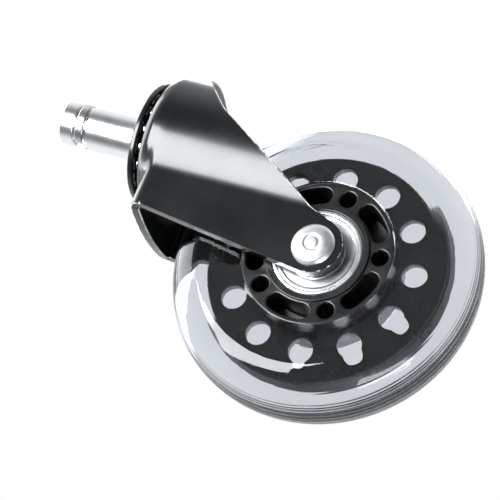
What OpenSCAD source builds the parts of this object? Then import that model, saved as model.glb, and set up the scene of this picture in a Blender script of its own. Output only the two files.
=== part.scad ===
// Swivel caster with a grip-ring stem, a pressed steel fork and a clear-tyred wheel.
// Frame: origin on the swivel axis at the foot of the stem, +Z up the stem,
// +X towards the trailing wheel, the axle along Y. All lengths are millimetres.

/* [Stem] */
// Diameter of the stem that plugs into the chair base
stem_d = 11; // [10:0.1:12]
// Length of the stem above the swivel disc
stem_len = 22; // [20:0.5:30]
// Height and depth of the chamfer at the stem's tip
tip_chamfer = 1.2; // [0.6:0.1:1.6]
// Distance from the tip to the nearer wall of the grip ring's groove
groove_from_tip = 4.6; // [4:0.1:6]
// Width of the groove along the stem
groove_w = 3.4; // [2.8:0.1:4]
// Depth of the groove
groove_depth = 1.1; // [0.8:0.1:1.3]
// Width of the grip ring along the stem
ring_w = 2.3; // [1.6:0.1:2.6]
// Height that the closed ring stands out of the stem
ring_proud = 0.2; // [0.1:0.05:0.2]
// Width of the slit in the grip ring
ring_slit = 2.4; // [1.5:0.1:3]

/* [Swivel head] */
// Diameter of the domed upper race
cap_d = 30.4; // [29:0.2:31]
// Depth of the upper race's lower rim under its flat top
cap_h = 4; // [3.6:0.1:4.4]
// Thickness of the upper race at its rim
cap_rim_t = 1.4; // [1.2:0.1:1.8]
// Diameter of the flat land round the stem
land_d = 14.4; // [13:0.2:16]
// Depth that the stem's collar is sunk into the upper race
stem_seat = 1.2; // [0.8:0.1:1.6]
// Diameter of the stem's collar, flush with the land
collar_d = 11.8; // [11.4:0.1:12.4]
// Diameter of a swivel ball
swivel_ball_d = 4; // [3.5:0.1:4.2]
// Radius of the upper row of balls
upper_row_r = 12; // [11.5:0.1:12.4]
// Number of balls in the upper row
upper_ball_count = 18; // [12:1:18]
// Radius of the lower row of balls
lower_row_r = 8; // [7.8:0.1:8.4]
// Number of balls in the lower row
lower_ball_count = 12; // [8:1:12]
// Gap between the two faces that hold a row of balls
row_gap = 1.2; // [1:0.1:1.4]
// Thickness of the lower race
lower_race_t = 2.2; // [2:0.1:2.6]
// Diameter of the lower race
lower_race_d = 23; // [22:0.5:24]
// Diameter of the stem's shank inside the head
shank_d = 9; // [8:0.5:9.5]
// Height of the peened end of the shank
peened_h = 1.3; // [1:0.1:1.6]
// Diameter of the peened end of the shank
peened_d = 12.4; // [11:0.2:13]

/* [Fork] */
// Thickness of the pressed steel sheet
sheet_t = 2.4; // [2:0.1:2.6]
// Width across the outer faces of the two legs
fork_w = 31.5; // [31:0.1:33]
// Outer radius of the rounded front wall
front_r = 17.9; // [17.4:0.1:18.4]
// Height of the raised ball seat above the flat top plate
seat_rise = 4; // [3.6:0.1:4.4]
// Distance from the swivel axis to the rear corners of the top plate
rear_x = 22.4; // [21:0.2:24]
// Radius of the bowed rear edge of the top plate, seen from above
rear_bow_r = 80; // [60:5:200]
// Radius of the round shoulder between the ball seat and the front wall
shoulder_r = 3.6; // [3.2:0.1:4]
// Radius of the bend between the top plate and a leg
bend_r = 2.8; // [2.8:0.1:3.4]
// Horizontal distance from the swivel axis to the wheel's axle
trail = 21.6; // [20:0.1:24]
// Depth of the axle under the swivel disc's face
axle_drop = 57.3; // [56:0.1:59]
// Radius of a leg's rounded lower end
boss_r = 7; // [6.8:0.1:8]
// Depth of the front wall's lower edge under the swivel disc's face
lip_drop = 13; // [12:0.2:14]

/* [Axle] */
// Diameter of the axle rivet
axle_d = 8; // [8:0.1:8]
// Diameter of the rivet's domed head
head_d = 10.4; // [10:0.1:11.5]
// Height of the rivet's domed head
head_h = 1.7; // [1.2:0.1:2]
// Diameter of the rivet's rolled end
tail_d = 9; // [8.6:0.1:10]
// Height of the rivet's rolled end
tail_h = 1.2; // [0.8:0.1:1.6]
// Outer diameter of a bush between a leg and a bearing
bush_d = 13.2; // [12.5:0.1:13.6]

/* [Wheel] */
// Diameter of the wheel across the tread
wheel_d = 75; // [74:0.5:76]
// Width of the wheel
wheel_w = 24; // [24:0.2:24.6]
// Radius of the tread's rounded cross-section
tread_r = 12.8; // [12.4:0.1:14]
// Diameter of the hub's flange inside the clear tyre
flange_d = 56.4; // [55:0.2:58]
// Thickness of the flange
flange_w = 3.2; // [2.6:0.1:6]
// Diameter of the tyre's open middle, where the hub shows
tyre_mouth_d = 37; // [36:0.5:38]
// Number of holes through the flange
flange_hole_count = 12; // [8:1:14]
// Diameter of a flange hole
flange_hole_d = 6; // [4:0.1:6.4]
// Radius of the circle of flange holes
flange_hole_ring_r = 22.6; // [22.4:0.1:24]
// Number of long pockets in each face of the hub, with a round one between each two
pocket_count = 5; // [4:1:6]
// Angle that a long pocket spans about the axle
pocket_sweep = 39; // [30:1:42]
// Depth of a pocket
pocket_depth = 7.5; // [5:0.5:9]
// Angle that the wheel rests at about its axle
wheel_turn = -7.3; // [-36:0.1:36]

/* [Bearings] */
// Outer diameter of a wheel bearing
bearing_d = 22; // [22:0.1:22]
// Width of a wheel bearing
bearing_w = 7; // [7:0.1:7]
// Diameter of a bearing ball
bearing_ball_d = 3.97; // [3.9:0.01:4]
// Radius of the circle of bearing balls
bearing_row_r = 7.5; // [7.4:0.05:7.6]
// Number of balls in a bearing
bearing_ball_count = 7; // [6:1:8]
// Radial gap between a ball and the track it rolls in
ball_gap = 0.07; // [0.05:0.01:0.1]

/* [Hidden] */
$fn = 96;
eps = 0.01;
stem_r = stem_d / 2;
shank_r = shank_d / 2;
cap_r = cap_d / 2;
collar_r = collar_d / 2;
land_r = land_d / 2;
swivel_ball_r = swivel_ball_d / 2;
upper_row_z = -cap_h - row_gap / 2;
seat_z = -cap_h - row_gap;
lower_row_z = seat_z - sheet_t - row_gap / 2;
lower_race_z = seat_z - sheet_t - row_gap;
shank_end_z = lower_race_z - lower_race_t;
plate_z = seat_z - seat_rise;
leg_y = fork_w / 2;
leg_inner_y = leg_y - sheet_t;
axle_r = axle_d / 2;
fork_bottom_z = -axle_drop - boss_r;
half_w = wheel_w / 2;
wheel_r = wheel_d / 2;
mouth_r = tyre_mouth_d / 2;
tread_centre_r = wheel_r - tread_r;
flange_r = flange_d / 2;
bearing_r = bearing_d / 2;
bearing_y = half_w - bearing_w / 2;
hub_face_w = wheel_w - 1.2;
hub_bore_r = 8.5;
seat_wall_r = bearing_r + 1.6;
pocket_r = (seat_wall_r + mouth_r) / 2 - 0.4;
pocket_w = 4.1;
inner_ring_r = 6.05;
outer_ring_inner_r = 9.3;
shield_inner_r = 6.3;
shield_seat_r = 10;
shield_t = 0.4;
shield_inset = 0.45;
cage_w = 5;
cage_inner_r = 6.6;
cage_outer_r = 8.4;
fork_hole_r = shank_r + 0.8;

// Front edge of a leg: the lip, the end of the lip's slope and the end of the straight edge
lip_slope_end = [-6.2, -23.2];
straight_edge_end = [trail - 9.4, -axle_drop + 4.5];

// Points on the leg's lower circle where a straight edge from a point touches it.
// side is 1 for the front of the leg and -1 for its rear.
function boss_touch(from, side) =
    let (
        reach = [trail - from[0], -axle_drop - from[1]],
        bearing = atan2(reach[1], reach[0]),
        spread = acos(boss_r / norm(reach)),
        angle = bearing + 180 + side * spread
    )
    [trail + boss_r * cos(angle), -axle_drop + boss_r * sin(angle)];

// Puts a shape drawn about Z onto the wheel's axle, with its +Z towards +Y
module on_axle(y = 0) {
    translate([trail, y, -axle_drop]) rotate([-90, 0, 0]) children();
}

module tube(r_out, r_in, height) {
    difference() {
        cylinder(r = r_out, h = height);
        translate([0, 0, -1]) cylinder(r = r_in, h = height + 2);
    }
}

module ring_of(count, radius, start = 0) {
    for (i = [0 : count - 1])
        rotate([0, 0, start + i * 360 / count]) translate([radius, 0, 0]) children();
}

module ball_track(row_r, ball_r) {
    rotate_extrude() translate([row_r, 0]) circle(r = ball_r + ball_gap, $fn = 64);
}

module balls(count, row_r, ball_d) {
    ring_of(count, row_r) sphere(d = ball_d, $fn = 64);
}

// ---- Head ----

module stem() {
    groove_top = stem_len - groove_from_tip;
    groove_r = stem_r - groove_depth;
    color("gainsboro") difference() {
        rotate_extrude() polygon([
            [0, shank_end_z - peened_h],
            [peened_d / 2 - 1.1, shank_end_z - peened_h],
            [peened_d / 2, shank_end_z - 0.4],
            [peened_d / 2, shank_end_z],
            [shank_r, shank_end_z],
            [shank_r, -stem_seat],
            [collar_r, -stem_seat],
            [collar_r, 0],
            [stem_r, 0],
            [stem_r, stem_len - tip_chamfer],
            [stem_r - tip_chamfer, stem_len],
            [0, stem_len]]);
        translate([0, 0, groove_top - groove_w]) tube(stem_r + 1, groove_r, groove_w);
    }
}

module grip_ring() {
    ring_z = stem_len - groove_from_tip - groove_w / 2 - ring_w / 2;
    color("silver") difference() {
        translate([0, 0, ring_z]) tube(stem_r + ring_proud, stem_r - groove_depth, ring_w);
        translate([0, -ring_slit / 2, ring_z - 1]) cube([stem_r + 2, ring_slit, ring_w + 2]);
    }
}

module upper_race() {
    dome_drop = cap_h - cap_rim_t;
    dome_depth = (pow(cap_r, 2) - pow(land_r, 2) + pow(dome_drop, 2)) / (2 * dome_drop);
    dome_r = norm([land_r, dome_depth]);
    edge_r = 0.5;
    color([0.05, 0.05, 0.055]) difference() {
        rotate_extrude() difference() {
            intersection() {
                polygon([[0, -cap_h], [cap_r - edge_r, -cap_h], [cap_r, edge_r - cap_h],
                    [cap_r, 0], [0, 0]]);
                translate([0, -dome_depth]) circle(r = dome_r, $fn = 360);
            }
            translate([-5, -cap_h - 1]) square([5 + shank_r, cap_h + 2]);
            translate([-5, -stem_seat]) square([5 + collar_r, stem_seat + 1]);
        }
        translate([0, 0, upper_row_z]) ball_track(upper_row_r, swivel_ball_r);
    }
}

module lower_race() {
    color([0.75, 0.75, 0.77]) difference() {
        translate([0, 0, shank_end_z]) tube(lower_race_d / 2, shank_r, lower_race_t);
        translate([0, 0, lower_row_z]) ball_track(lower_row_r, swivel_ball_r);
    }
}

module upper_balls() {
    color("silver") translate([0, 0, upper_row_z])
        balls(upper_ball_count, upper_row_r, swivel_ball_d);
}

module lower_balls() {
    color("silver") translate([0, 0, lower_row_z])
        balls(lower_ball_count, lower_row_r, swivel_ball_d);
}

// ---- Fork ----

// Round front of the fork, inset by a distance from its outer surface
module round_front(inset) {
    top_z = seat_z - inset;
    outer_r = front_r - inset;
    round_r = shoulder_r - inset;
    rotate_extrude() {
        translate([0, fork_bottom_z - 2])
            square([outer_r, top_z - round_r - fork_bottom_z + 2]);
        translate([0, top_z - round_r - 1]) square([outer_r - round_r, round_r + 1]);
        translate([outer_r - round_r, top_z - round_r]) circle(r = round_r);
    }
}

// Straight channel of the fork behind the front, open below, inset from its outer surface
module channel(inset) {
    outer_y = leg_y - inset;
    top_z = plate_z - inset;
    round_r = max(bend_r - inset, 0.4);
    rotate([90, 0, 90]) linear_extrude(rear_x + 4) {
        translate([-outer_y, fork_bottom_z - 2])
            square([2 * outer_y, top_z - round_r - fork_bottom_z + 2]);
        translate([round_r - outer_y, top_z - round_r - 1])
            square([2 * (outer_y - round_r), round_r + 1]);
        for (side = [-1, 1])
            translate([side * (outer_y - round_r), top_z - round_r]) circle(r = round_r);
    }
}

// The fork seen from the side, in X and Z: the lip, the sloping front edges and the legs
module fork_side() {
    front_touch = boss_touch(straight_edge_end, 1);
    rear_corner = [rear_x, plate_z - sheet_t];
    rear_touch = boss_touch(rear_corner, -1);
    polygon([
        [-front_r - 2, 1],
        [-front_r - 2, -lip_drop],
        [-front_r, -lip_drop],
        lip_slope_end,
        straight_edge_end,
        front_touch,
        [trail, -axle_drop],
        rear_touch,
        rear_corner,
        [rear_x + 5, plate_z - sheet_t + 0.4],
        [rear_x + 5, 1]]);
    translate([trail, -axle_drop]) circle(r = boss_r);
}

// Trims the rear edge of the top plate to a shallow bow between its two corners
module rear_bow() {
    bow_x = rear_x + 0.15 - sqrt(pow(rear_bow_r, 2) - pow(leg_y, 2));
    plate_bottom_z = plate_z - sheet_t;
    difference() {
        translate([rear_x - 4, -leg_y - 1, plate_bottom_z]) cube([10, fork_w + 2, 10]);
        translate([bow_x, 0, plate_bottom_z - 1]) cylinder(r = rear_bow_r, h = 12, $fn = 240);
    }
}

module fork() {
    color([0.04, 0.04, 0.045]) difference() {
        intersection() {
            union() {
                round_front(0);
                channel(0);
            }
            rotate([90, 0, 0]) translate([0, 0, -50]) linear_extrude(100) fork_side();
        }
        rear_bow();
        round_front(sheet_t);
        channel(sheet_t);
        translate([0, 0, seat_z - 20]) cylinder(r = fork_hole_r, h = 30);
        translate([0, 0, upper_row_z]) ball_track(upper_row_r, swivel_ball_r);
        translate([0, 0, lower_row_z]) ball_track(lower_row_r, swivel_ball_r);
        on_axle(-50) cylinder(r = axle_r, h = 100);
    }
}

module axle_rivet() {
    color("gainsboro") on_axle() rotate_extrude() polygon([
        [0, -leg_y - tail_h],
        [tail_d / 2 - 0.9, -leg_y - tail_h],
        [tail_d / 2, -leg_y - 0.4],
        [tail_d / 2, -leg_y],
        [axle_r, -leg_y],
        [axle_r, leg_y],
        [head_d / 2, leg_y],
        [head_d / 2, leg_y + 0.5],
        [head_d / 2 - 1.3, leg_y + head_h * 0.85],
        [head_d / 2 - 2.8, leg_y + head_h],
        [0, leg_y + head_h]]);
}

module bearing_spacer() {
    spacer_len = 2 * (half_w - bearing_w);
    color("silver") on_axle(-spacer_len / 2) tube(5.6, axle_r, spacer_len);
}

module bush(side) {
    bush_len = leg_inner_y - half_w;
    color([0.06, 0.06, 0.065]) on_axle(side > 0 ? half_w : -leg_inner_y)
        tube(bush_d / 2, axle_r, bush_len);
}

module left_bush() {
    bush(-1);
}

module right_bush() {
    bush(1);
}

// ---- Bearings ----

module inner_ring(side) {
    color("silver") on_axle(side * bearing_y) difference() {
        translate([0, 0, -bearing_w / 2]) tube(inner_ring_r, axle_r, bearing_w);
        ball_track(bearing_row_r, bearing_ball_d / 2);
    }
}

module outer_ring(side) {
    color("silver") on_axle(side * bearing_y) difference() {
        translate([0, 0, -bearing_w / 2]) tube(bearing_r, outer_ring_inner_r, bearing_w);
        ball_track(bearing_row_r, bearing_ball_d / 2);
        for (face = [-1, 1])
            translate([0, 0, face * (bearing_w / 2 - shield_inset / 2) - 1])
                translate([0, 0, face > 0 ? 1 - shield_inset / 2 - shield_t : 0])
                    cylinder(r = shield_seat_r, h = 1 + shield_inset / 2 + shield_t);
    }
}

module shield(side, face) {
    face_z = face * (bearing_w / 2 - shield_inset) - (face > 0 ? shield_t : 0);
    color([0.6, 0.6, 0.62]) on_axle(side * bearing_y) translate([0, 0, face_z])
        tube(shield_seat_r, shield_inner_r, shield_t);
}

module bearing_balls(side) {
    color("silver") on_axle(side * bearing_y)
        balls(bearing_ball_count, bearing_row_r, bearing_ball_d);
}

module cage(side) {
    color([0.7, 0.6, 0.4]) on_axle(side * bearing_y) difference() {
        translate([0, 0, -cage_w / 2]) tube(cage_outer_r, cage_inner_r, cage_w);
        ring_of(bearing_ball_count, cage_inner_r - 1)
            rotate([0, 90, 0]) cylinder(d = bearing_ball_d + 0.14, h = 4, $fn = 48);
    }
}

module left_inner_ring() {
    inner_ring(-1);
}

module right_inner_ring() {
    inner_ring(1);
}

module left_outer_ring() {
    outer_ring(-1);
}

module right_outer_ring() {
    outer_ring(1);
}

module left_outer_shield() {
    shield(-1, -1);
}

module left_inner_shield() {
    shield(-1, 1);
}

module right_outer_shield() {
    shield(1, 1);
}

module right_inner_shield() {
    shield(1, -1);
}

module left_balls() {
    bearing_balls(-1);
}

module right_balls() {
    bearing_balls(1);
}

module left_cage() {
    cage(-1);
}

module right_cage() {
    cage(1);
}

// ---- Wheel ----

module flange_holes() {
    ring_of(flange_hole_count, flange_hole_ring_r, 180 / flange_hole_count)
        translate([0, 0, -flange_w]) cylinder(d = flange_hole_d, h = 2 * flange_w);
}

// Half of the hub's cross-section: barrel, bearing seats, pocketed faces and flange
module hub_section() {
    web_y = half_w - bearing_w;
    face_y = hub_face_w / 2;
    flange_y = flange_w / 2;
    polygon([
        [hub_bore_r, -web_y], [bearing_r, -web_y], [bearing_r, -half_w],
        [seat_wall_r, -half_w], [seat_wall_r, -face_y], [mouth_r, -face_y],
        [mouth_r, -flange_y], [flange_r, -flange_y],
        [flange_r, flange_y], [mouth_r, flange_y],
        [mouth_r, face_y], [seat_wall_r, face_y], [seat_wall_r, half_w],
        [bearing_r, half_w], [bearing_r, web_y], [hub_bore_r, web_y]]);
}

// A long pocket that follows the hub's rim, centred on the X axis
module pocket_outline() {
    inner_r = pocket_r - pocket_w / 2;
    outer_r = pocket_r + pocket_w / 2;
    far = 2 * outer_r;
    intersection() {
        difference() {
            circle(r = outer_r);
            circle(r = inner_r);
        }
        polygon([[0, 0],
            [far * cos(pocket_sweep / 2), -far * sin(pocket_sweep / 2)],
            [far * cos(pocket_sweep / 2), far * sin(pocket_sweep / 2)]]);
    }
}

module hub_pockets() {
    ring_of(pocket_count, 0) linear_extrude(pocket_depth + 1) pocket_outline();
    ring_of(pocket_count, pocket_r, 180 / pocket_count)
        cylinder(d = pocket_w, h = pocket_depth + 1, $fn = 48);
}

module hub() {
    face_y = hub_face_w / 2;
    color([0.04, 0.04, 0.045]) on_axle() rotate([0, 0, wheel_turn]) difference() {
        rotate_extrude() hub_section();
        flange_holes();
        for (side = [-1, 1])
            translate([0, 0, side > 0 ? face_y - pocket_depth : -face_y - 1]) hub_pockets();
    }
}

// Half of the tyre's cross-section: flat sides that run into the round tread
module tyre_section() {
    intersection() {
        translate([mouth_r, -half_w]) square([wheel_r - mouth_r + 1, wheel_w]);
        union() {
            translate([tread_centre_r, 0]) circle(r = tread_r, $fn = 180);
            translate([mouth_r, -half_w]) square([tread_centre_r - mouth_r, wheel_w]);
        }
    }
}

module tyre() {
    flange_y = flange_w / 2;
    color([0.85, 0.86, 0.88, 0.4]) on_axle() rotate([0, 0, wheel_turn]) {
        difference() {
            rotate_extrude($fn = 180) tyre_section();
            difference() {
                translate([0, 0, -flange_y]) cylinder(r = flange_r, h = flange_w);
                flange_holes();
            }
        }
    }
}

stem();
grip_ring();
upper_race();
lower_race();
upper_balls();
lower_balls();
fork();
axle_rivet();
bearing_spacer();
left_bush();
right_bush();
left_inner_ring();
right_inner_ring();
hub();
tyre();
left_outer_ring();
right_outer_ring();
left_outer_shield();
left_inner_shield();
right_outer_shield();
right_inner_shield();
left_balls();
right_balls();
left_cage();
right_cage();
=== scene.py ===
# Looks for the swivel caster: lathed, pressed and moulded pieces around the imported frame.
import math

import bmesh
import bpy
import numpy as np
from mathutils import Matrix, Vector


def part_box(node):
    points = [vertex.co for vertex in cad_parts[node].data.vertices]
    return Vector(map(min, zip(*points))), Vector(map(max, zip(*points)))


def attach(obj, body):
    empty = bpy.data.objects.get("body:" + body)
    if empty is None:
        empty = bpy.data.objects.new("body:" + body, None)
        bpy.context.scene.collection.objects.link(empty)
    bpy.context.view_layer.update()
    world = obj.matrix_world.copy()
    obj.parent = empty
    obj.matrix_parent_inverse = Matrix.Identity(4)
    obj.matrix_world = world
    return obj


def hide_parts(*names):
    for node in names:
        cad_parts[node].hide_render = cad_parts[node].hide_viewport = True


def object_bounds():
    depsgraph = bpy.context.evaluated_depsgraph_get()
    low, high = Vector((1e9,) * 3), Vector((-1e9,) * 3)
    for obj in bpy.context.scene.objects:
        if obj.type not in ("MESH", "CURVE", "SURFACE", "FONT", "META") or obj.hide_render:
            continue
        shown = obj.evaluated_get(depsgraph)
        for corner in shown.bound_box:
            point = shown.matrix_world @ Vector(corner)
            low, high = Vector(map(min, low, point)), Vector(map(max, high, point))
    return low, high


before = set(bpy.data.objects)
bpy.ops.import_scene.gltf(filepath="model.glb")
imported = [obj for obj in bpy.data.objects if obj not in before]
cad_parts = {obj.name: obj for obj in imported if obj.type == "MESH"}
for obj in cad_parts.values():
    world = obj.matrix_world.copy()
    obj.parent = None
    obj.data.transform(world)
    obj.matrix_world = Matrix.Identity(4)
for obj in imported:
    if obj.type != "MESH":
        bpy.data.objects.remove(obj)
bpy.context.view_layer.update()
MM = 0.001


def span(node):
    """Lowest and highest corner of a CAD node in millimetres."""
    lo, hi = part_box(node)
    return [c / MM for c in lo], [c / MM for c in hi]


# ---- Sizes in millimetres: outer ones read off the frame, the others as the part is designed ----
STEM_LO, STEM_HI = span("stem")
TYRE_LO, TYRE_HI = span("tyre")
FORK_LO, FORK_HI = span("fork")
CAP_LO, CAP_HI = span("upper_race")
RING_LO, RING_HI = span("grip_ring")

# Stem with its ring groove, and the shank below it with its peened end
STEM_R = 5.5
STEM_TOP = STEM_HI[2]
TIP_CHAMFER = 1.2
GROOVE_TOP = STEM_TOP - 4.6
GROOVE_BOTTOM = GROOVE_TOP - 3.4
GROOVE_R = STEM_R - 1.1
HALF_SLIT = 1.2
STEM_SEAT = 1.2
SHANK_R = 4.5
PEENED_R = 6.2

# Wheel and axle
WHEEL_R = (TYRE_HI[0] - TYRE_LO[0]) / 2
HALF_W = (TYRE_HI[1] - TYRE_LO[1]) / 2
TRAIL = (TYRE_HI[0] + TYRE_LO[0]) / 2
AXLE_Z = (TYRE_HI[2] + TYRE_LO[2]) / 2
FLOOR_Z = TYRE_LO[2]
AXLE_R = 4.0

# Fork
SHEET_T = 2.4
SEAT_Z = FORK_HI[2]
FRONT_R = -FORK_LO[0]
BOSS_R = AXLE_Z - FORK_LO[2]
PLATE_Z = SEAT_Z - 4.0
LEG_Y = 15.75
REAR_X = 22.4

# Swivel disc, the two rows of balls as (radius, height) and the race below
CAP_R = CAP_HI[0]
CAP_BOTTOM = CAP_LO[2]
CAP_RIM_T = 1.4
LAND_R = 7.2
GAP = CAP_BOTTOM - SEAT_Z
TRACK_R = 2.07
UPPER_ROW = (12.0, CAP_BOTTOM - GAP / 2)
LOWER_ROW = (8.0, SEAT_Z - SHEET_T - GAP / 2)
RACE_R = 11.5
RACE_TOP = SEAT_Z - SHEET_T - GAP
RACE_BOTTOM = RACE_TOP - 2.2

# Bearings, with the bushes and spacer that hold them on the axle
BEARING_R = 11.0
BEARING_HALF_W = 3.5
BEARING_Y = HALF_W - BEARING_HALF_W
BEARING_ROW_R = 7.5
BEARING_TRACK_R = 2.055
INNER_RING_R = 6.05
OUTER_RING_R = 9.3
SHIELD_SEAT_R = 10.0
SHIELD_SEAT_Y = 2.65
BUSH_R = 6.6
SPACER_R = 5.6
SPACER_HALF = 5.0

# Hub, with heights measured from its middle, and the turn at rest in degrees
HUB_TURN = -7.3
ROUND_SEGMENTS = 120
FACE_Y = 11.4
FLANGE_Y = 1.6
MOUTH_R = 18.5
FLANGE_R = 28.2
SEAT_WALL_R = 12.6
BORE_R = 8.5
POCKET_COUNT = 5
POCKET_R = (SEAT_WALL_R + MOUTH_R) / 2 - 0.4
POCKET_W = 4.1
POCKET_SWEEP = 26
POCKET_DEPTH = 7.5
POCKET_SOFT = 0.35
FLANGE_HOLE_COUNT = 12
FLANGE_HOLE_R = 3.0
FLANGE_HOLE_RING_R = 22.6

# Tyre: radius of its round tread and of the softer edge beside it
TREAD_R = 12.8
TREAD_EDGE_R = 5.0


# ---- Mesh helpers ----

def fillet(corners, closed, step=12.0):
    """Rounds the corners of an outline given as (a, b, radius), with an arc point every step degrees."""
    out = []
    n = len(corners)
    for i, (a, b, radius) in enumerate(corners):
        if radius <= 0 or (not closed and i in (0, n - 1)):
            out.append((a, b))
            continue
        p = Vector((a, b))
        to_prev = Vector(corners[i - 1][:2]) - p
        to_next = Vector(corners[(i + 1) % n][:2]) - p
        room = 0.49 * min(to_prev.length, to_next.length)
        u, v = to_prev.normalized(), to_next.normalized()
        half = math.acos(max(-1.0, min(1.0, u.dot(v)))) / 2
        if half > math.radians(88):
            out.append((a, b))
            continue
        back = min(radius / math.tan(half), room)
        radius = back * math.tan(half)
        centre = p + (u + v).normalized() * (radius / math.sin(half))
        start, end = p + u * back - centre, p + v * back - centre
        turn = start.angle_signed(end)
        count = max(2, math.ceil(abs(math.degrees(turn)) / step))
        for k in range(count + 1):
            t = -turn * k / count
            c, s = math.cos(t), math.sin(t)
            out.append((centre.x + start.x * c - start.y * s, centre.y + start.x * s + start.y * c))
    return out


def arc(ca, cb, radius, start, end, count):
    """Outline points with no rounding along an arc, from start to end degrees."""
    angles = np.radians(np.linspace(start, end, count))
    return [(ca + radius * math.cos(t), cb + radius * math.sin(t), 0) for t in angles]


def finish_mesh(name, bm, sharp=32.0):
    """Turns a bmesh in millimetres into a smooth shaded object in metres, sharp over an angle."""
    bmesh.ops.remove_doubles(bm, verts=bm.verts, dist=1e-4)
    bmesh.ops.recalc_face_normals(bm, faces=bm.faces)
    for v in bm.verts:
        v.co *= MM
    mesh = bpy.data.meshes.new(name)
    bm.to_mesh(mesh)
    bm.free()
    mesh.shade_smooth()
    mesh.set_sharp_from_angle(angle=math.radians(sharp))
    piece = bpy.data.objects.new(name, mesh)
    bpy.context.scene.collection.objects.link(piece)
    weighted = piece.modifiers.new("normals", "WEIGHTED_NORMAL")
    weighted.keep_sharp = True
    weighted.weight = 60
    return piece


def spin_into(bm, outline, closed, segments, start=0.0, sweep=360.0):
    """Adds a turned surface about Z: outline is (radius, height) points; open outlines end on the axis."""
    full = sweep >= 360.0
    count = segments if full else segments + 1
    rings = []
    for r, h in outline:
        if r < 1e-6:
            rings.append([bm.verts.new((0, 0, h))])
            continue
        ring = []
        for k in range(count):
            t = math.radians(start + sweep * k / segments)
            ring.append(bm.verts.new((r * math.cos(t), r * math.sin(t), h)))
        rings.append(ring)
    pairs = list(zip(rings, rings[1:]))
    if closed:
        pairs.append((rings[-1], rings[0]))
    for lower, upper in pairs:
        for k in range(segments):
            j = (k + 1) % count
            quad = [ring[i % len(ring)] for ring, i in ((lower, k), (lower, j), (upper, j), (upper, k))]
            unique = list(dict.fromkeys(quad))
            if len(unique) > 2:
                bm.faces.new(unique)
    if not full and closed:
        bm.faces.new([ring[0] for ring in rings])
        bm.faces.new([ring[-1] for ring in reversed(rings)])


ON_STEM = Matrix.Identity(4)
ON_AXLE = Matrix.Translation((TRAIL * MM, 0, AXLE_Z * MM)) @ Matrix.Rotation(math.radians(-90), 4, "X")


def place(piece, matrix, body, slot, material, *nodes):
    """Puts a piece in its place with its material, and hands it to a body in the stead of CAD nodes."""
    piece.matrix_world = matrix
    piece.data.materials.clear()
    piece.data.materials.append(material)
    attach(piece, body)
    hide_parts(*nodes)
    return piece


def turned(name, corners, closed=True, segments=128, step=12.0, **arc_of):
    """A turned piece from the corners of its section, all round or over a given arc."""
    bm = bmesh.new()
    spin_into(bm, fillet(corners, closed, step), closed, segments, **arc_of)
    return finish_mesh(name, bm)


# ---- Material helpers ----

def wire(tree, value, socket):
    """Links another node's output into a socket, or sets the socket to a plain value."""
    if isinstance(value, bpy.types.NodeSocket):
        tree.links.new(value, socket)
    else:
        socket.default_value = value


def add_node(tree, kind, **inputs):
    """Makes a node. Keywords are its settings, or its inputs by name or, as _0 and _1, by number."""
    node = tree.nodes.new(kind)
    for key, value in inputs.items():
        if hasattr(node, key):
            setattr(node, key, value)
        elif key[1:].isdigit():
            wire(tree, value, node.inputs[int(key[1:])])
        else:
            wire(tree, value, node.inputs[key.replace("_", " ")])
    return node


class Nodes:
    """A material with short calls for its shader nodes."""

    def __init__(self, name):
        self.material = bpy.data.materials.new(name)
        self.material.use_nodes = True
        self.tree = self.material.node_tree
        self.shader = self.tree.nodes["Principled BSDF"]
        self.coords = self.add("ShaderNodeTexCoord").outputs["Object"]

    def add(self, kind, **inputs):
        return add_node(self.tree, kind, **inputs)

    def set(self, **inputs):
        for key, value in inputs.items():
            wire(self.tree, value, self.shader.inputs[key.replace("_", " ")])

    def math(self, operation, a, b=0.0):
        return self.add("ShaderNodeMath", operation=operation, _0=a, _1=b).outputs[0]

    def plus(self, a, b, share):
        """The sum of a and a share of b."""
        return self.math("ADD", a, self.math("MULTIPLY", b, share))

    def noise(self, scale, detail=3.0, roughness=0.5, along=None):
        """Noise through the piece, or in bands along a given distance."""
        node = self.add("ShaderNodeTexNoise", noise_dimensions="3D" if along is None else "1D",
                        Scale=scale, Detail=detail, Roughness=roughness)
        if along is None:
            wire(self.tree, self.coords, node.inputs["Vector"])
        else:
            wire(self.tree, along, node.inputs["W"])
        return node.outputs[0]

    def remap(self, value, low, high, to_low, to_high):
        node = self.add("ShaderNodeMapRange", Value=value,
                        From_Min=low, From_Max=high, To_Min=to_low, To_Max=to_high)
        return node.outputs[0]

    def blend(self, share, a, b):
        """A colour between a and b, by share."""
        return self.add("ShaderNodeMix", data_type="RGBA", _0=share, _6=a, _7=b).outputs[2]

    def mottled(self, cloud, low, high, grain, share):
        """Roughness that drifts from low to high with a cloud, plus a share of a finer grain."""
        return self.plus(self.remap(cloud, 0.3, 0.7, low, high), grain, share)

    def edges(self, low=0.52, high=0.6):
        """Share of worn surface along convex edges."""
        geometry = self.add("ShaderNodeNewGeometry")
        return self.remap(geometry.outputs["Pointiness"], low, high, 0.0, 1.0)

    def bump(self, *layers):
        """Stacks bump layers given as (height socket, strength, distance in metres)."""
        normal = None
        for height, strength, distance in layers:
            node = self.add("ShaderNodeBump", Strength=strength, Distance=distance, Height=height)
            if normal is not None:
                wire(self.tree, normal, node.inputs["Normal"])
            normal = node.outputs[0]
        self.set(Normal=normal)

    def axis(self):
        """Height along the turning axis and distance from it, as sockets."""
        parts = self.add("ShaderNodeSeparateXYZ", Vector=self.coords)
        squares = [self.math("POWER", parts.outputs[i], 2.0) for i in (0, 1)]
        return parts.outputs[2], self.math("SQRT", self.math("ADD", *squares))


def grey(value, tint=0.0):
    """A grey, bluer by the tint."""
    return (value * (1 - tint), value, value * (1 + tint), 1.0)


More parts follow.
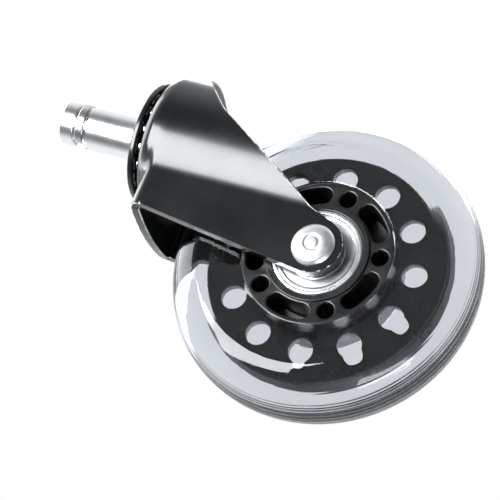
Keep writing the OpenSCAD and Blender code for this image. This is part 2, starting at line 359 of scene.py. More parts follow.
def turned_metal(name, tone, rough, rings=0.35, smudge=0.08):
    """Bright metal with fine turning rings, a cloudy roughness and lighter worn edges."""
    m = Nodes(name)
    height, radius = m.axis()
    lines = m.noise(9000.0, 4.0, 0.7, m.plus(height, radius, 1.7))
    cloud = m.noise(260.0, 4.0, 0.6)
    spots = m.noise(2600.0, 2.0, 0.5)
    face = m.blend(cloud, grey(tone * 0.93, tint=0.01), grey(tone))
    m.set(
        Metallic=1.0,
        Base_Color=m.blend(m.edges(), face, grey(min(tone * 1.1, 0.95))),
        Roughness=m.mottled(cloud, rough, rough + smudge, spots, 0.03),
    )
    m.bump((lines, rings, 0.00002), (cloud, 0.05, 0.0002))
    return m.material


def enamel(name, scuff_and_highlight):
    """Gloss black enamel with slight orange peel; the share from 0 to 1 paints pale metal in patches, as
    wear and as a painted highlight.
    """
    m = Nodes(name)
    peel = m.noise(260.0, 2.0, 0.5)
    fine = m.noise(3000.0, 2.0, 0.5)
    cloud = m.noise(90.0, 3.0, 0.55)
    # Pale patches from the share: at small shares these are wear; at 1, on the rim, they are mostly a
    # painted highlight with patchy wear
    scuff_and_highlight_mask = m.remap(m.noise(900.0), 0.35, 0.65, 0.2 * scuff_and_highlight, scuff_and_highlight)
    black = m.blend(cloud, grey(0.003, tint=0.08), grey(0.006, tint=0.08))
    m.set(
        Base_Color=m.blend(scuff_and_highlight_mask, black, grey(0.75)),
        Roughness=m.mottled(cloud, 0.17, 0.23, fine, 0.04),
        Specular_IOR_Level=0.5,
        Coat_Weight=0.25,
        Coat_Roughness=0.12,
        Coat_IOR=1.5,
    )
    m.bump((peel, 0.05, 0.00012), (fine, 0.03, 0.00002))
    return m.material


def moulded(name, tone, rough):
    """Black moulded nylon: fine spark texture, flow clouds and paler worn edges."""
    m = Nodes(name)
    spark = m.noise(5200.0, 3.0, 0.6)
    flow = m.noise(140.0, 4.0, 0.6)
    face = m.blend(flow, grey(tone * 0.75, tint=0.04), grey(tone * 1.2, tint=0.04))
    m.set(
        Base_Color=m.blend(m.edges(0.53, 0.62), face, grey(tone * 2.6)),
        Roughness=m.mottled(flow, rough, rough + 0.1, spark, 0.08),
    )
    m.bump((spark, 0.12, 0.00004), (flow, 0.06, 0.0003))
    return m.material


def polyurethane():
    """Clear smoky polyurethane: faint streaks round the axle, and a frosted tread with turning marks."""
    m = Nodes("clear_polyurethane")
    height, radius = m.axis()
    streaks = m.noise(1500.0, 2.0, 0.6, m.plus(radius, height, 0.35))
    tread = m.remap(radius, (WHEEL_R - 5) * MM, (WHEEL_R - 1) * MM, 0.0, 1.0)
    turning = m.math("MULTIPLY", tread, m.noise(900.0, 2.0, 0.6, m.plus(height, radius, 0.5)))
    cloud = m.noise(120.0, 3.0, 0.5)
    m.set(
        Base_Color=m.blend(cloud, grey(0.93, tint=0.01), grey(0.98, tint=0.01)),
        Roughness=m.mottled(cloud, 0.0, 0.02, tread, 0.1),
        IOR=1.49,
        Transmission_Weight=1.0,
    )
    m.bump((streaks, 0.06, 0.0002), (turning, 0.7, 0.0003))
    smoke = m.add("ShaderNodeVolumeAbsorption", Color=(0.62, 0.65, 0.7, 1), Density=34.0)
    wire(m.tree, smoke.outputs[0], m.tree.nodes["Material Output"].inputs["Volume"])
    return m.material


NICKEL = turned_metal("stem_nickel", 0.9, 0.16)
SPRING = turned_metal("ring_spring_steel", 0.7, 0.16)
RIVET = turned_metal("rivet_zinc", 0.92, 0.26, rings=0.15, smudge=0.14)
GROUND = turned_metal("bearing_ground_steel", 0.88, 0.22, rings=0.3)
SHIELD = turned_metal("shield_bright_steel", 0.82, 0.26, rings=0.4)
BARE = turned_metal("race_zinc_steel", 0.6, 0.28)
SPACER = turned_metal("spacer_turned_steel", 0.58, 0.25, rings=0.6)
CAGE = turned_metal("cage_pressed_steel", 0.55, 0.3)
BALL = turned_metal("ball_polished_steel", 0.85, 0.05, rings=0.0, smudge=0.03)
ENAMEL = enamel("fork_enamel", 0.0)
# Rim enamel: the cut edge is painted pale, a painted highlight with patchy wear
ENAMEL_RIM_HIGHLIGHT = enamel("fork_enamel_rim_painted_highlight", 1.0)
NYLON = moulded("hub_black_nylon", 0.005, 0.2)
BUSH = moulded("bush_black_nylon", 0.009, 0.38)
CLEAR = polyurethane()

# ---- Stem, ring and races ----


def track(row, radius, face, toward):
    """Points of the round groove that a row of balls cuts into a flat face at a height."""
    row_r, row_z = row
    reach = math.degrees(math.acos((face - row_z) * toward / radius))
    middle = 90 * toward
    return arc(row_r, row_z, radius, middle - reach, middle + reach, 13)


stem = turned("stem_turned", [
    (0, STEM_LO[2], 0), (PEENED_R - 1, STEM_LO[2], 0.7), (PEENED_R, RACE_BOTTOM - 0.5, 0.4),
    (PEENED_R, RACE_BOTTOM, 0.1), (SHANK_R, RACE_BOTTOM, 0), (SHANK_R, -STEM_SEAT, 0),
    (STEM_R, -STEM_SEAT, 0), (STEM_R, GROOVE_BOTTOM, 0.25), (GROOVE_R, GROOVE_BOTTOM, 0.2),
    (GROOVE_R, GROOVE_TOP, 0.2), (STEM_R, GROOVE_TOP, 0.25),
    (STEM_R, STEM_TOP - TIP_CHAMFER, 0.6), (STEM_R - TIP_CHAMFER, STEM_TOP, 0.5),
    (0, STEM_TOP, 0)], closed=False, segments=96)
place(stem, ON_STEM, "stem_head", "plated_steel", NICKEL, "stem")

slit = math.degrees(math.asin(HALF_SLIT / STEM_R))
ring_r = -RING_LO[0]
ring = turned("grip_ring_spring", [
    (GROOVE_R + 0.05, RING_LO[2], 0.1), (ring_r, RING_LO[2], 0.45),
    (ring_r, RING_HI[2], 0.45), (GROOVE_R + 0.05, RING_HI[2], 0.1)],
    segments=90, start=slit, sweep=360 - 2 * slit)
place(ring, ON_STEM, "stem_head", "ring_spring", SPRING, "grip_ring")

dome_drop = -CAP_BOTTOM - CAP_RIM_T
dome_depth = (CAP_R ** 2 - LAND_R ** 2 + dome_drop ** 2) / (2 * dome_drop)
dome_r = math.hypot(LAND_R, dome_depth)
dome = [(r, math.sqrt(dome_r ** 2 - r ** 2) - dome_depth, 0) for r in np.linspace(CAP_R - 0.7, LAND_R, 18)]
cap = turned("race_cap", [
    (SHANK_R, CAP_BOTTOM, 0), *reversed(track(UPPER_ROW, TRACK_R, CAP_BOTTOM, 1)),
    (CAP_R, CAP_BOTTOM, 0.5), (CAP_R, -dome_drop, 0.6), *dome,
    (STEM_R, 0, 0), (STEM_R, -STEM_SEAT, 0), (SHANK_R, -STEM_SEAT, 0)], segments=160, step=8)
place(cap, ON_STEM, "stem_head", "black_race", ENAMEL, "upper_race")

race = turned("race_lower", [
    (SHANK_R, RACE_BOTTOM, 0), (RACE_R, RACE_BOTTOM, 0.5), (RACE_R, RACE_TOP, 0.4),
    *reversed(track(LOWER_ROW, TRACK_R, RACE_TOP, -1)), (SHANK_R, RACE_TOP, 0)], segments=96)
place(race, ON_STEM, "stem_head", "bare_race", BARE, "lower_race")

# ---- Axle rivet, spacer, bushes and bearings ----

HEAD_Y = LEG_Y + 1.7
TAIL_Y = -LEG_Y - 1.2
TAIL_DISH_Y = TAIL_Y + 0.7
rivet = turned("axle_rivet_formed", [
    (0, TAIL_DISH_Y, 0), (1.9, TAIL_DISH_Y, 0.4), (2.5, TAIL_Y, 0.5), (3.7, TAIL_Y, 0.6),
    (4.5, -LEG_Y - 0.3, 0.4), (4.5, -LEG_Y, 0.1), (AXLE_R, -LEG_Y, 0), (AXLE_R, LEG_Y, 0),
    (5.3, LEG_Y, 0.1), (5.3, LEG_Y + 0.4, 0.35), (4.6, HEAD_Y - 0.55, 0.9), (3.2, HEAD_Y - 0.1, 1.2),
    (2.3, HEAD_Y, 0.3), (1.95, HEAD_Y - 0.2, 0.3), (1.5, HEAD_Y - 0.2, 0.3),
    (1.1, HEAD_Y - 0.02, 0.3), (0, HEAD_Y - 0.02, 0)], closed=False, segments=96)
place(rivet, ON_AXLE, "fork_frame", "rivet_plate", RIVET, "axle_rivet")
spacer = turned("bearing_spacer_turned", [
    (AXLE_R, -SPACER_HALF, 0.3), (SPACER_R, -SPACER_HALF, 0.3),
    (SPACER_R, SPACER_HALF, 0.3), (AXLE_R, SPACER_HALF, 0.3)], segments=64)
place(spacer, ON_AXLE, "fork_frame", "spacer_steel", SPACER, "bearing_spacer")

# Section of a shield as radius, distance out from the bearing's middle, and rounding
SHIELD_SECTION = [
    (9.98, 2.66, 0), (9.98, 3.05, 0.12), (9.35, 3.05, 0.12), (8.9, 2.92, 0.2), (6.75, 2.92, 0.15),
    (6.5, 3.04, 0.1), (6.3, 3.04, 0.05), (6.3, 2.66, 0), (8.9, 2.66, 0)]


def ball_track(y, edge_r, facing):
    """The groove round a bearing ring, from one edge to the other; it faces out at 0 and in at 180."""
    reach = math.degrees(math.acos(abs(BEARING_ROW_R - edge_r) / BEARING_TRACK_R))
    return reversed(arc(BEARING_ROW_R, y, BEARING_TRACK_R, facing - reach, facing + reach, 11))


for side, sign in (("left", -1), ("right", 1)):
    wheel_y = sign * HALF_W
    bush_y = sign * (HALF_W + 0.25)
    leg_y = sign * (LEG_Y - SHEET_T)
    bush = turned(side + "_bush_moulded", [
        (AXLE_R, wheel_y, 0), (SPACER_R, wheel_y, 0), (SPACER_R + 0.2, bush_y, 0.1),
        (BUSH_R, bush_y, 0.2), (BUSH_R, leg_y, 0.2), (AXLE_R, leg_y, 0)], segments=72)
    place(bush, ON_AXLE, "fork_frame", "bush_nylon", BUSH, side + "_bush")
    y = sign * BEARING_Y
    low, high = y - BEARING_HALF_W, y + BEARING_HALF_W
    inner = turned(side + "_inner_ring_ground", [
        (AXLE_R, low, 0.3), (INNER_RING_R, low, 0.25), *ball_track(y, INNER_RING_R, 180),
        (INNER_RING_R, high, 0.25), (AXLE_R, high, 0.3)], segments=72)
    place(inner, ON_AXLE, "fork_frame", "bearing_steel", GROUND, side + "_inner_ring")
    low_seat, high_seat = y - SHIELD_SEAT_Y, y + SHIELD_SEAT_Y
    outer = turned(side + "_outer_ring_ground", [
        (BEARING_R, low, 0.5), (BEARING_R, high, 0.5), (SHIELD_SEAT_R, high, 0.15),
        (SHIELD_SEAT_R, high_seat, 0), (OUTER_RING_R, high_seat, 0), *ball_track(y, OUTER_RING_R, 0),
        (OUTER_RING_R, low_seat, 0), (SHIELD_SEAT_R, low_seat, 0), (SHIELD_SEAT_R, low, 0.15)], segments=96)
    place(outer, ON_AXLE, "wheel", "bearing_steel", GROUND, side + "_outer_ring")
    for where, face in (("outer", sign), ("inner", -sign)):
        section = [(r, y + face * out, soft) for r, out, soft in SHIELD_SECTION]
        shield = turned(f"{side}_{where}_shield_pressed", section, segments=96)
        place(shield, ON_AXLE, "wheel", "shield_steel", SHIELD, f"{side}_{where}_shield")

# ---- Hub and tyre ----

QUARTER = [math.radians(a) for a in (0, 30, 60, 90)]


def points_on(cx, cy, radius, angles):
    return [(cx + radius * math.cos(t), cy + radius * math.sin(t)) for t in angles]


def circle(radius):
    return points_on(0, 0, radius, [2 * math.pi * k / ROUND_SEGMENTS for k in range(ROUND_SEGMENTS)])


def round_outline(centre_r, at, radius, count=28):
    """A circle centred at an angle round the hub, which grows with an offset."""
    cx, cy = centre_r * math.cos(at), centre_r * math.sin(at)
    angles = [2 * math.pi * k / count for k in range(count)]
    return lambda off: points_on(cx, cy, radius + off, angles)


def kidney_outline(middle, radius, width, sweep):
    """A long pocket with round ends that follows the hub, and grows with an offset."""
    half = math.radians(sweep / 2)
    first, last = middle - half, middle + half
    along = [first + 2 * half * k / 16 for k in range(17)]
    round_end = [math.radians(18 * k) for k in range(1, 10)]

    def end_cap(at, facing, off):
        cx, cy = radius * math.cos(at), radius * math.sin(at)
        return points_on(cx, cy, width / 2 + off, [facing + a for a in round_end])

    def outline(off):
        outside = points_on(0, 0, radius + width / 2 + off, along)
        inside = points_on(0, 0, radius - width / 2 - off, along[::-1])
        return outside + end_cap(last, last, off) + inside + end_cap(first, first + math.pi, off)
    return outline


def loop_of(bm, points, h):
    return [bm.verts.new((x, y, h)) for x, y in points]


def bridge(bm, a, b):
    """Faces between two loops of the same count."""
    for k in range(len(a)):
        j = (k + 1) % len(a)
        bm.faces.new((a[k], a[j], b[j], b[k]))


def bridge_all(bm, loops):
    for a, b in zip(loops, loops[1:]):
        bridge(bm, a, b)


def turned_loops(bm, rows, s):
    """Loops round the hub at (radius, height) rows on side s, bridged in turn."""
    loops = [loop_of(bm, circle(r), s * h) for r, h in rows]
    bridge_all(bm, loops)
    return loops


def edges_of(bm, loop):
    return [bm.edges.get((a, b)) or bm.edges.new((a, b)) for a, b in zip(loop, loop[1:] + loop[:1])]


def fill_between(bm, loops):
    """Fills a flat face bounded by one outer loop and any number of holes."""
    edges = [e for loop in loops for e in edges_of(bm, loop)]
    bmesh.ops.triangle_fill(bm, use_beauty=True, use_dissolve=False, edges=edges)


def rounded_rim(radius, height, soft):
    """Rows of a turned outer edge rounded from the flat face down to the wall."""
    return [(radius - soft + soft * math.sin(a), height - soft + soft * math.cos(a)) for a in QUARTER]


def pocket_outlines():
    """Long pockets with a small round one between each two."""
    out = []
    for k in range(POCKET_COUNT):
        middle = 2 * math.pi * k / POCKET_COUNT
        out.append(kidney_outline(middle, POCKET_R, POCKET_W, POCKET_SWEEP))
        out.append(round_outline(POCKET_R, middle + math.pi / POCKET_COUNT, POCKET_W / 2))
    return out


def hub_mesh():
    bm = bmesh.new()
    holes = []
    for k in range(FLANGE_HOLE_COUNT):
        at = 2 * math.pi * (k + 0.5) / FLANGE_HOLE_COUNT
        holes.append(round_outline(FLANGE_HOLE_RING_R, at, FLANGE_HOLE_R))
    mouth = [(POCKET_SOFT * (1 - math.sin(a)), POCKET_SOFT * (1 - math.cos(a))) for a in QUARTER]
    barrel = fillet([(SEAT_WALL_R, FACE_Y, 0), (SEAT_WALL_R, HALF_W, 0.25), (BEARING_R, HALF_W, 0.3),
                     (BEARING_R, SPACER_HALF, 0.2), (BORE_R, SPACER_HALF, 0.3), (BORE_R, 0, 0)], False)
    hole_tops = {}
    rims = {}
    for s in (-1, 1):
        tops = []
        for outline in pocket_outlines():
            rows = [loop_of(bm, outline(off), s * (FACE_Y - drop)) for off, drop in mouth]
            rows.append(loop_of(bm, outline(0), s * (FACE_Y - POCKET_DEPTH + 0.5)))
            rows.append(loop_of(bm, outline(-POCKET_SOFT), s * (FACE_Y - POCKET_DEPTH)))
            bridge_all(bm, rows)
            bm.faces.new(rows[-1])
            tops.append(rows[0])
        skirt = turned_loops(bm, [*rounded_rim(MOUTH_R, FACE_Y, 0.4), (MOUTH_R, FLANGE_Y)], s)
        inner = turned_loops(bm, barrel, s)
        fill_between(bm, [skirt[0], inner[0], *tops])
        flange = turned_loops(bm, rounded_rim(FLANGE_R, FLANGE_Y, 0.6), s)
        rims[s] = flange[-1]
        hole_rows = []
        for outline in holes:
            hole_rows.append([loop_of(bm, outline(off), s * (FLANGE_Y - drop)) for off, drop in mouth])
        for rows in hole_rows:
            bridge_all(bm, rows)
        hole_tops[s] = [rows[-1] for rows in hole_rows]
        fill_between(bm, [skirt[-1], flange[0], *[rows[0] for rows in hole_rows]])
    bridge(bm, rims[-1], rims[1])
    for a, b in zip(hole_tops[-1], hole_tops[1]):
        bridge(bm, a, b)
    return bm


hub = finish_mesh("hub_moulded", hub_mesh())
place(hub, ON_AXLE @ Matrix.Rotation(math.radians(HUB_TURN), 4, "Z"), "wheel", "hub_nylon", NYLON, "hub")


def tyre_outline():
    """Closed section of the tyre: parting ridge, round tread, soft edge, slightly dished side and lip."""
    tread_centre = WHEEL_R - 0.05 - TREAD_R
    edge_h = HALF_W - TREAD_EDGE_R
    edge_centre = tread_centre + math.sqrt((TREAD_R - TREAD_EDGE_R) ** 2 - edge_h ** 2)
    turn = math.degrees(math.atan2(edge_h, edge_centre - tread_centre))
    ridge = [(WHEEL_R, 0.08), (WHEEL_R - 0.04, 0.18)]
    tread = arc(tread_centre, 0, TREAD_R, 1.6, turn, 44)
    edge = arc(edge_centre, edge_h, TREAD_EDGE_R, turn, 90, 14)
    rounds = [(r, h) for r, h, _ in tread + edge[1:]]
    lip_r = MOUTH_R - 0.2
    soft = 0.5
    side = [(r, HALF_W - 0.35 * ((edge_centre - r) / (edge_centre - lip_r)) ** 1.6)
            for r in np.linspace(edge_centre, lip_r + soft, 22)[1:]]
    lip_h = side[-1][1]
    lip = [(lip_r + soft - soft * math.sin(a), lip_h - soft + soft * math.cos(a)) for a in QUARTER[1:]]
    top = ridge + rounds + side + lip
    return top + [(r, -h) for r, h in reversed(top)]


def tyre_mesh():
    bm = bmesh.new()
    spin_into(bm, tyre_outline(), True, 240)
    return bm


tyre = finish_mesh("tyre_cast", tyre_mesh(), sharp=60)
place(tyre, ON_AXLE, "wheel", "clear_tyre", CLEAR, "tyre")

CARRIED_OVER = {
    BALL: ("upper_balls", "lower_balls", "left_balls", "right_balls"),
    CAGE: ("left_cage", "right_cage"),
}
for material, nodes in CARRIED_OVER.items():
    for node in nodes:
        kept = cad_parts[node]
        kept.data.materials.clear()
        kept.data.materials.append(material)


# ---- Fork: one pressed sheet, traced over its smooth outer form and thickened inwards ----

SHOULDER_R = 3.6
BEND_R = 2.8
CREASE_R = 2.5
SHOULDER_FOOT = FRONT_R - SHOULDER_R
FORK_HOLE_R = SHANK_R + 0.8
BOW_R = 80.0
PLATE_EDGE_Z = PLATE_Z - SHEET_T
KEEL_Z = PLATE_Z - BEND_R - 0.25
BOW_X = REAR_X + 0.15
LEG_START_X = 13.2
LIP_Z = -13.0
EDGE_KNEE = (-6.2, -23.2)
EDGE_END = (TRAIL - 9.4, AXLE_Z + 4.5)


def rounded_corner(a, b, radius):
    """Distance to a quadrant a < 0, b < 0 whose corner is rounded."""
    a, b = a + radius, b + radius
    return np.hypot(np.maximum(a, 0), np.maximum(b, 0)) + np.minimum(np.maximum(a, b), 0) - radius


def fork_field(p):
    """Signed distance to the fork's outer form: round front, straight channel and the crease between."""
    x, y, z = p[..., 0], p[..., 1], p[..., 2]
    front = rounded_corner(np.hypot(x, y) - FRONT_R, z - SEAT_Z, SHOULDER_R)
    channel = np.maximum(rounded_corner(np.abs(y) - LEG_Y, z - PLATE_Z, BEND_R), -x)
    near = np.hypot(np.maximum(CREASE_R - front, 0), np.maximum(CREASE_R - channel, 0))
    return np.maximum(CREASE_R, np.minimum(front, channel)) - near


def field_normal(p):
    h = 1e-4
    grad = np.stack([fork_field(p + d) - fork_field(p - d) for d in np.eye(3) * h], -1)
    return grad / np.linalg.norm(grad, axis=-1, keepdims=True)


def onto_field(p, steps=4):
    for _ in range(steps):
        p = p - fork_field(p)[..., None] * field_normal(p)
    return p


def bow_x(y):
    """Where the rear edge of the top plate, slightly bowed, runs."""
    return BOW_X - math.sqrt(BOW_R ** 2 - LEG_Y ** 2) + np.sqrt(BOW_R ** 2 - y ** 2)


def slope(p, radial):
    """Parts of the form's normal out from the swivel axis and up, as two columns."""
    normal = field_normal(p)
    return np.stack([(normal * radial).sum(-1), normal[:, 2]], -1)


def trace_columns(angles):
    """Curves down the outer form in vertical planes through the swivel axis, as (column, step, 3)."""
    radial = np.stack([np.cos(angles), np.sin(angles), np.zeros_like(angles)], -1)
    up = np.array([0, 0, 1.0])
    points = [SHOULDER_FOOT * radial + SEAT_Z * up]
    step = 0.12
    for _ in range(260):
        p = points[-1]
        across = slope(p, radial)
        across /= np.linalg.norm(across, axis=-1, keepdims=True)
        p = p + step * (across[:, 1:] * radial - across[:, :1] * up)
        for _ in range(3):
            across = slope(p, radial)
            miss = fork_field(p) / (across ** 2).sum(-1)
            p = p - miss[:, None] * (across[:, :1] * radial + across[:, 1:] * up)
        points.append(p)
    return np.stack(points, 1)


def boss_touch(start, side):
    """Angle at which a straight edge from a point touches a leg's round lower end."""
    reach = (TRAIL - start[0], AXLE_Z - start[1])
    bearing = math.atan2(reach[1], reach[0])
    spread = math.acos(BOSS_R / math.hypot(*reach))
    return bearing + math.pi + side * spread


def boss_point(a):
    return (TRAIL + BOSS_R * math.cos(a), AXLE_Z + BOSS_R * math.sin(a))


front_touch = boss_touch(EDGE_END, 1)
rear_touch = boss_touch((REAR_X, PLATE_EDGE_Z), -1)
edge_line = fillet([
    (-FRONT_R - 1, LIP_Z, 0), (-FRONT_R + 1.5, LIP_Z, 3.0), (*EDGE_KNEE, 14.0), (*EDGE_END, 9.0),
    (*boss_point(front_touch), 0)], False, step=4)
edge_x = np.array([p[0] for p in edge_line])
edge_z = np.array([p[1] for p in edge_line])

# Angles of the sheet's columns over one half, from the rear round to the front
corner_a = math.atan2(LEG_Y, BOW_X)
leg_a = math.atan2(LEG_Y, LEG_START_X)
flat_a = math.atan2(LEG_Y - BEND_R, float(bow_x(LEG_Y - BEND_R)))
front_a = math.radians(75)
end_bend = []
for t in np.linspace(0, 90, 12)[1:-1]:
    y = LEG_Y - BEND_R * (1 - math.sin(math.radians(t)))
    end_bend.append(math.atan2(y, float(bow_x(y))))
half_angles = np.concatenate([
    np.linspace(0, flat_a, 19), end_bend, [corner_a],
    np.linspace(corner_a, leg_a, 16)[1:], np.linspace(leg_a, front_a, 44)[1:],
    np.linspace(front_a, math.pi, 56)[1:]])
corner_i = int(np.argmin(abs(half_angles - corner_a)))
leg_i = int(np.argmin(abs(half_angles - leg_a)))

# Distances from the swivel axis of the rows over the seat, close together at the ball grooves' edges
SEAT_ROWS = [
    FORK_HOLE_R, 6.02, 6.4, 7.0, 7.6, 8.4, 9.0, 9.6, 9.98,
    10.02, 10.4, 11.0, 11.6, 12.4, 13.0, 13.6, 13.98]
ROOF_ROWS = 64
WALL_ROWS = 26
UPPER_PART = len(SEAT_ROWS) + ROOF_ROWS


def half_sheet():
    """Outer points of the +Y half down to the rear edge or the leg, as (column, row, 3)."""
    dense = trace_columns(half_angles)
    roof = np.zeros((len(half_angles), ROOF_ROWS, 3))
    for i, line in enumerate(dense):
        cut = line[:, 0] - bow_x(line[:, 1]) if i < corner_i else KEEL_Z - line[:, 2]
        k = int(np.argmax(cut > 0))
        share = -cut[k - 1] / (cut[k] - cut[k - 1])
        last = line[k - 1] + share * (line[k] - line[k - 1])
        kept = np.vstack([line[:k], last])
        length = np.concatenate([[0], np.cumsum(np.linalg.norm(np.diff(kept, axis=0), axis=1))])
        at = np.linspace(0, length[-1], ROOF_ROWS)
        roof[i] = np.stack([np.interp(at, length, kept[:, c]) for c in range(3)], -1)
    return onto_field(roof, 2)


def groove_depth(r, row, face, toward):
    """Depth of a ball groove at a distance from the swivel axis, into a flat face of the sheet."""
    row_r, row_z = row
    under = TRACK_R ** 2 - (r - row_r) ** 2
    return max(0.0, math.sqrt(under) - (row_z - face) * toward) if under > 0 else 0.0


def sheet_columns(bm, order):
    """Vertices of the sheet as (outer points, inner points) a column; a column below 0 is mirrored."""
    roof = half_sheet()
    under_z = SEAT_Z - SHEET_T
    columns = []
    for i in order:
        k = abs(i)
        flip = np.array([1, -1 if i < 0 else 1, 1])
        radial = np.array([math.cos(half_angles[k]), math.sin(half_angles[k]), 0]) * flip
        outer = []
        inner = []
        for r in SEAT_ROWS:
            top = SEAT_Z - groove_depth(r, UPPER_ROW, SEAT_Z, 1)
            under = under_z + groove_depth(r, LOWER_ROW, under_z, -1)
            outer.append(radial * r + np.array([0, 0, top]))
            inner.append(radial * r + np.array([0, 0, under]))
        sheet = roof[k] * flip
        outer += list(sheet)
        inner += list(sheet - SHEET_T * field_normal(sheet))
        if k >= leg_i:
            foot = sheet[-1]
            thickness = SHEET_T * field_normal(foot)
            low = float(np.interp(foot[0], edge_x, edge_z))
            for z in np.linspace(foot[2], low, WALL_ROWS)[1:]:
                point = np.array([foot[0], foot[1], z])
                outer.append(point)
                inner.append(point - thickness)
        columns.append(([bm.verts.new(p) for p in outer], [bm.verts.new(p) for p in inner]))
    return columns


def add_leg(bm, top, flip):
    """Adds the flat leg under its columns, with the axle hole, and returns its cut edge as point pairs."""
    turn = (rear_touch - front_touch) % (2 * math.pi)
    path = [(x, z) for x, z in zip(edge_x, edge_z) if x > LEG_START_X + 0.05]
    path += [boss_point(front_touch + turn * k / 40) for k in range(1, 41)]
    faces_y = (flip * LEG_Y, flip * (LEG_Y - SHEET_T))
    paths = [[bm.verts.new((x, y, z)) for x, z in path] for y in faces_y]
    bores = []
    for layer, y in enumerate(faces_y):
        keel = [column[layer][UPPER_PART - 1] for column in top]
        side_wall = top[-1][layer][UPPER_PART:]
        leg = bm.faces.new(keel + side_wall + paths[layer])
        for inset in (0.55, 0.15):
            bmesh.ops.inset_region(bm, faces=[leg], thickness=inset, use_boundary=True, use_even_offset=True)
        rim = list(leg.verts)
        bm.faces.remove(leg)
        seat, lip, bore = (
            [bm.verts.new((TRAIL + x, y, AXLE_Z + z)) for x, z in circle(AXLE_R + margin)]
            for margin in (0.7, 0.4, 0)
        )
        fill_between(bm, [rim, seat])
        bridge_all(bm, [seat, lip, bore])
        bores.append(bore)
    bridge(bm, *bores)
    cut = [[top[-1][layer][-1], *paths[layer], top[0][layer][UPPER_PART - 1]] for layer in (0, 1)]
    return list(zip(*cut))


def fork_mesh():
    bm = bmesh.new()
    last = len(half_angles) - 1
    order = list(range(last + 1)) + [-i for i in range(last - 1, 0, -1)]
    columns = sheet_columns(bm, order)
    weight = bm.edges.layers.float.new("bevel_weight_edge")
    across = set()

    def close_edge(a, b, rounded=True):
        """Closes the sheet's cut edge between two pairs of outer and inner points."""
        bm.faces.new((a[0], b[0], b[1], a[1]))
        across.update((bm.edges.get(a), bm.edges.get(b)))
        for layer in (0, 1):
            bm.edges.get((a[layer], b[layer]))[weight] = float(rounded)

    for c in range(len(columns)):
        d = (c + 1) % len(columns)
        lengths = (len(columns[c][0]), len(columns[d][0]))
        rows = min(lengths)
        for a, b in zip(columns[c], columns[d]):
            for r in range(rows - 1):
                bm.faces.new((a[r], a[r + 1], b[r + 1], b[r]))
        both_walls = lengths[0] == lengths[1] > UPPER_PART
        in_bow = max(abs(order[c]), abs(order[d])) <= corner_i
        for r in (0, rows - 1):
            if r == 0 or both_walls or in_bow:
                close_edge(*((columns[k][0][r], columns[k][1][r]) for k in (c, d)), r > 0)
    for flip in (1, -1):
        top = [columns[order.index(i * flip)] for i in range(corner_i, leg_i + 1)]
        outline = add_leg(bm, top, flip)
        for a, b in zip(outline, outline[1:]):
            close_edge(a, b)
    bmesh.ops.subdivide_edges(bm, edges=list(across), cuts=4)
    widest = max(v.co.y for v in bm.verts)
    for v in bm.verts:
        v.co.y *= min(1, FORK_HI[1] / widest)
    return bm


fork = finish_mesh("fork_pressed", fork_mesh(), sharp=40)
# The bevel strip along the sheet's cut edge takes the pale rim enamel: a painted highlight with patchy wear
rim = fork.modifiers.new("rim", "BEVEL")
rim.width = 0.32 * MM
rim.segments = 3
rim.limit_method = "WEIGHT"
rim.use_clamp_overlap = False
rim.material = 1
weld = fork.modifiers.new("weld", "WELD")
weld.merge_threshold = 0.004 * MM
# The weighted normals that finish_mesh added go last
fork.modifiers.move(0, 2)
place(fork, Matrix.Identity(4), "fork_frame", "fork_paint", ENAMEL, "fork")
fork.data.materials.append(ENAMEL_RIM_HIGHLIGHT)

# ---- Camera ----

scene = bpy.context.scene
lo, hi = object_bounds()
middle = (lo + hi) / 2
camera = bpy.data.objects.new("camera", bpy.data.cameras.new("camera"))
scene.collection.objects.link(camera)
eye = Vector((0.382, 0.914, -0.423))
upright = Vector((-0.857, 0.462, 0.228))
ahead = (middle - eye).normalized()
across = ahead.cross(upright).normalized()
up = across.cross(ahead)
camera.matrix_world = Matrix.Translation(eye) @ Matrix((across, up, -ahead)).transposed().to_4x4()
camera.data.sensor_width = 36
camera.data.lens = 320
camera.data.clip_start, camera.data.clip_end = 0.01, 20
scene.camera = camera

# ---- Light, floor and background ----

# Strength of the surroundings on the camera's side and beyond the caster
ROOM_DARK = 0.18
ROOM_LIGHT = 1.0
# Share of the white background that rays through the tyre see
THROUGH = 0.45


def softbox(name, toward, distance, size, power):
    """A rectangular lamp out along a direction from the caster, facing it."""
    data = bpy.data.lights.new(name, "AREA")
    data.shape = "RECTANGLE"
    data.size, data.size_y = size
    data.energy = power
    data.color = (0.94, 0.97, 1.0)
    lamp = bpy.data.objects.new(name, data)
    scene.collection.objects.link(lamp)
    away = Vector(toward).normalized()
    lamp.location = middle + away * distance
    lamp.rotation_mode = "QUATERNION"
    lamp.rotation_quaternion = away.to_track_quat("Z", "Y")
    lamp.visible_camera = False
    lamp.visible_transmission = False


softbox("key", (0.27, 0.823, 0.5), 0.9, (0.70, 0.62), 24)
softbox("top", (-0.25, -0.1, 1.0), 1.0, (0.8, 0.8), 9)
softbox("back", (-0.9, -0.7, 0.3), 1.0, (0.5, 0.9), 7)
softbox("low", (0.75, 0.35, -0.9), 1.0, (0.25, 0.6), 4)


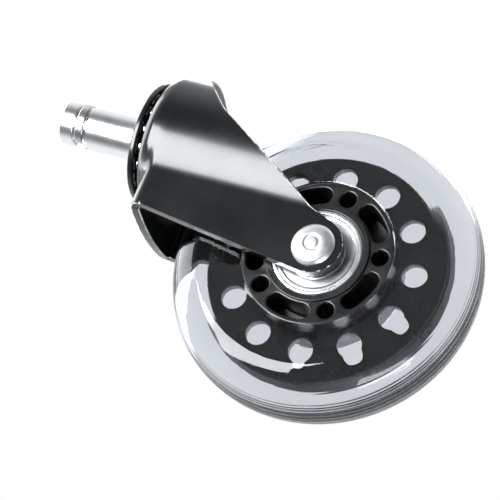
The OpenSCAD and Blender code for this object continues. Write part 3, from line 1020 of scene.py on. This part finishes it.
def studio_world():
    """White to the camera, partly white through the tyre, and otherwise a room lighter beyond the caster."""
    world = bpy.data.worlds.new("studio")
    world.use_nodes = True
    tree = world.node_tree
    paper = add_node(tree, "ShaderNodeBackground", Color=(1, 1, 1, 1))
    toward = add_node(tree, "ShaderNodeTexCoord").outputs["Generated"]
    facing = add_node(tree, "ShaderNodeVectorMath", operation="DOT_PRODUCT", _0=toward, _1=ahead)
    fade = add_node(tree, "ShaderNodeMapRange", interpolation_type="SMOOTHSTEP",
                    Value=facing.outputs["Value"], From_Min=-0.35, From_Max=0.35,
                    To_Min=ROOM_DARK, To_Max=ROOM_LIGHT)
    room = tree.nodes["Background"]
    wire(tree, (0.95, 0.975, 1, 1), room.inputs["Color"])
    wire(tree, fade.outputs[0], room.inputs["Strength"])
    path = add_node(tree, "ShaderNodeLightPath").outputs
    seen = add_node(tree, "ShaderNodeMath", operation="MULTIPLY_ADD", use_clamp=True,
                    _0=path["Is Transmission Ray"], _1=THROUGH, _2=path["Is Camera Ray"])
    mix = add_node(tree, "ShaderNodeMixShader", _0=seen.outputs[0], _1=room.outputs[0], _2=paper.outputs[0])
    wire(tree, mix.outputs[0], tree.nodes["World Output"].inputs["Surface"])
    return world


def floor_paint():
    """Pale paint that only the camera and rays through the tyre see, and only from above."""
    m = Nodes("pale_floor")
    m.set(Base_Color=(0.86, 0.87, 0.88, 1), Roughness=0.6)
    path = m.add("ShaderNodeLightPath").outputs
    seen = m.math("MAXIMUM", path["Is Camera Ray"], path["Is Transmission Ray"])
    underside = m.add("ShaderNodeNewGeometry").outputs["Backfacing"]
    above = m.add("ShaderNodeMath", operation="SUBTRACT", use_clamp=True, _0=seen, _1=underside)
    nothing = m.add("ShaderNodeBsdfTransparent")
    mix = m.add("ShaderNodeMixShader", _0=above.outputs[0], _1=nothing.outputs[0], _2=m.shader.outputs[0])
    wire(m.tree, mix.outputs[0], m.tree.nodes["Material Output"].inputs["Surface"])
    return m.material


scene.world = studio_world()

FLOOR_HALF = 1.2
FLOOR_CLEARANCE = 0.00002
floor_corners = [(x * FLOOR_HALF, y * FLOOR_HALF, 0) for x, y in ((-1, -1), (1, -1), (1, 1), (-1, 1))]
floor_mesh = bpy.data.meshes.new("floor")
floor_mesh.from_pydata(floor_corners, [], [(0, 1, 2, 3)])
floor_mesh.materials.append(floor_paint())
floor = bpy.data.objects.new("floor", floor_mesh)
floor.location.z = FLOOR_Z * MM - FLOOR_CLEARANCE
scene.collection.objects.link(floor)

scene.view_settings.view_transform = "Standard"
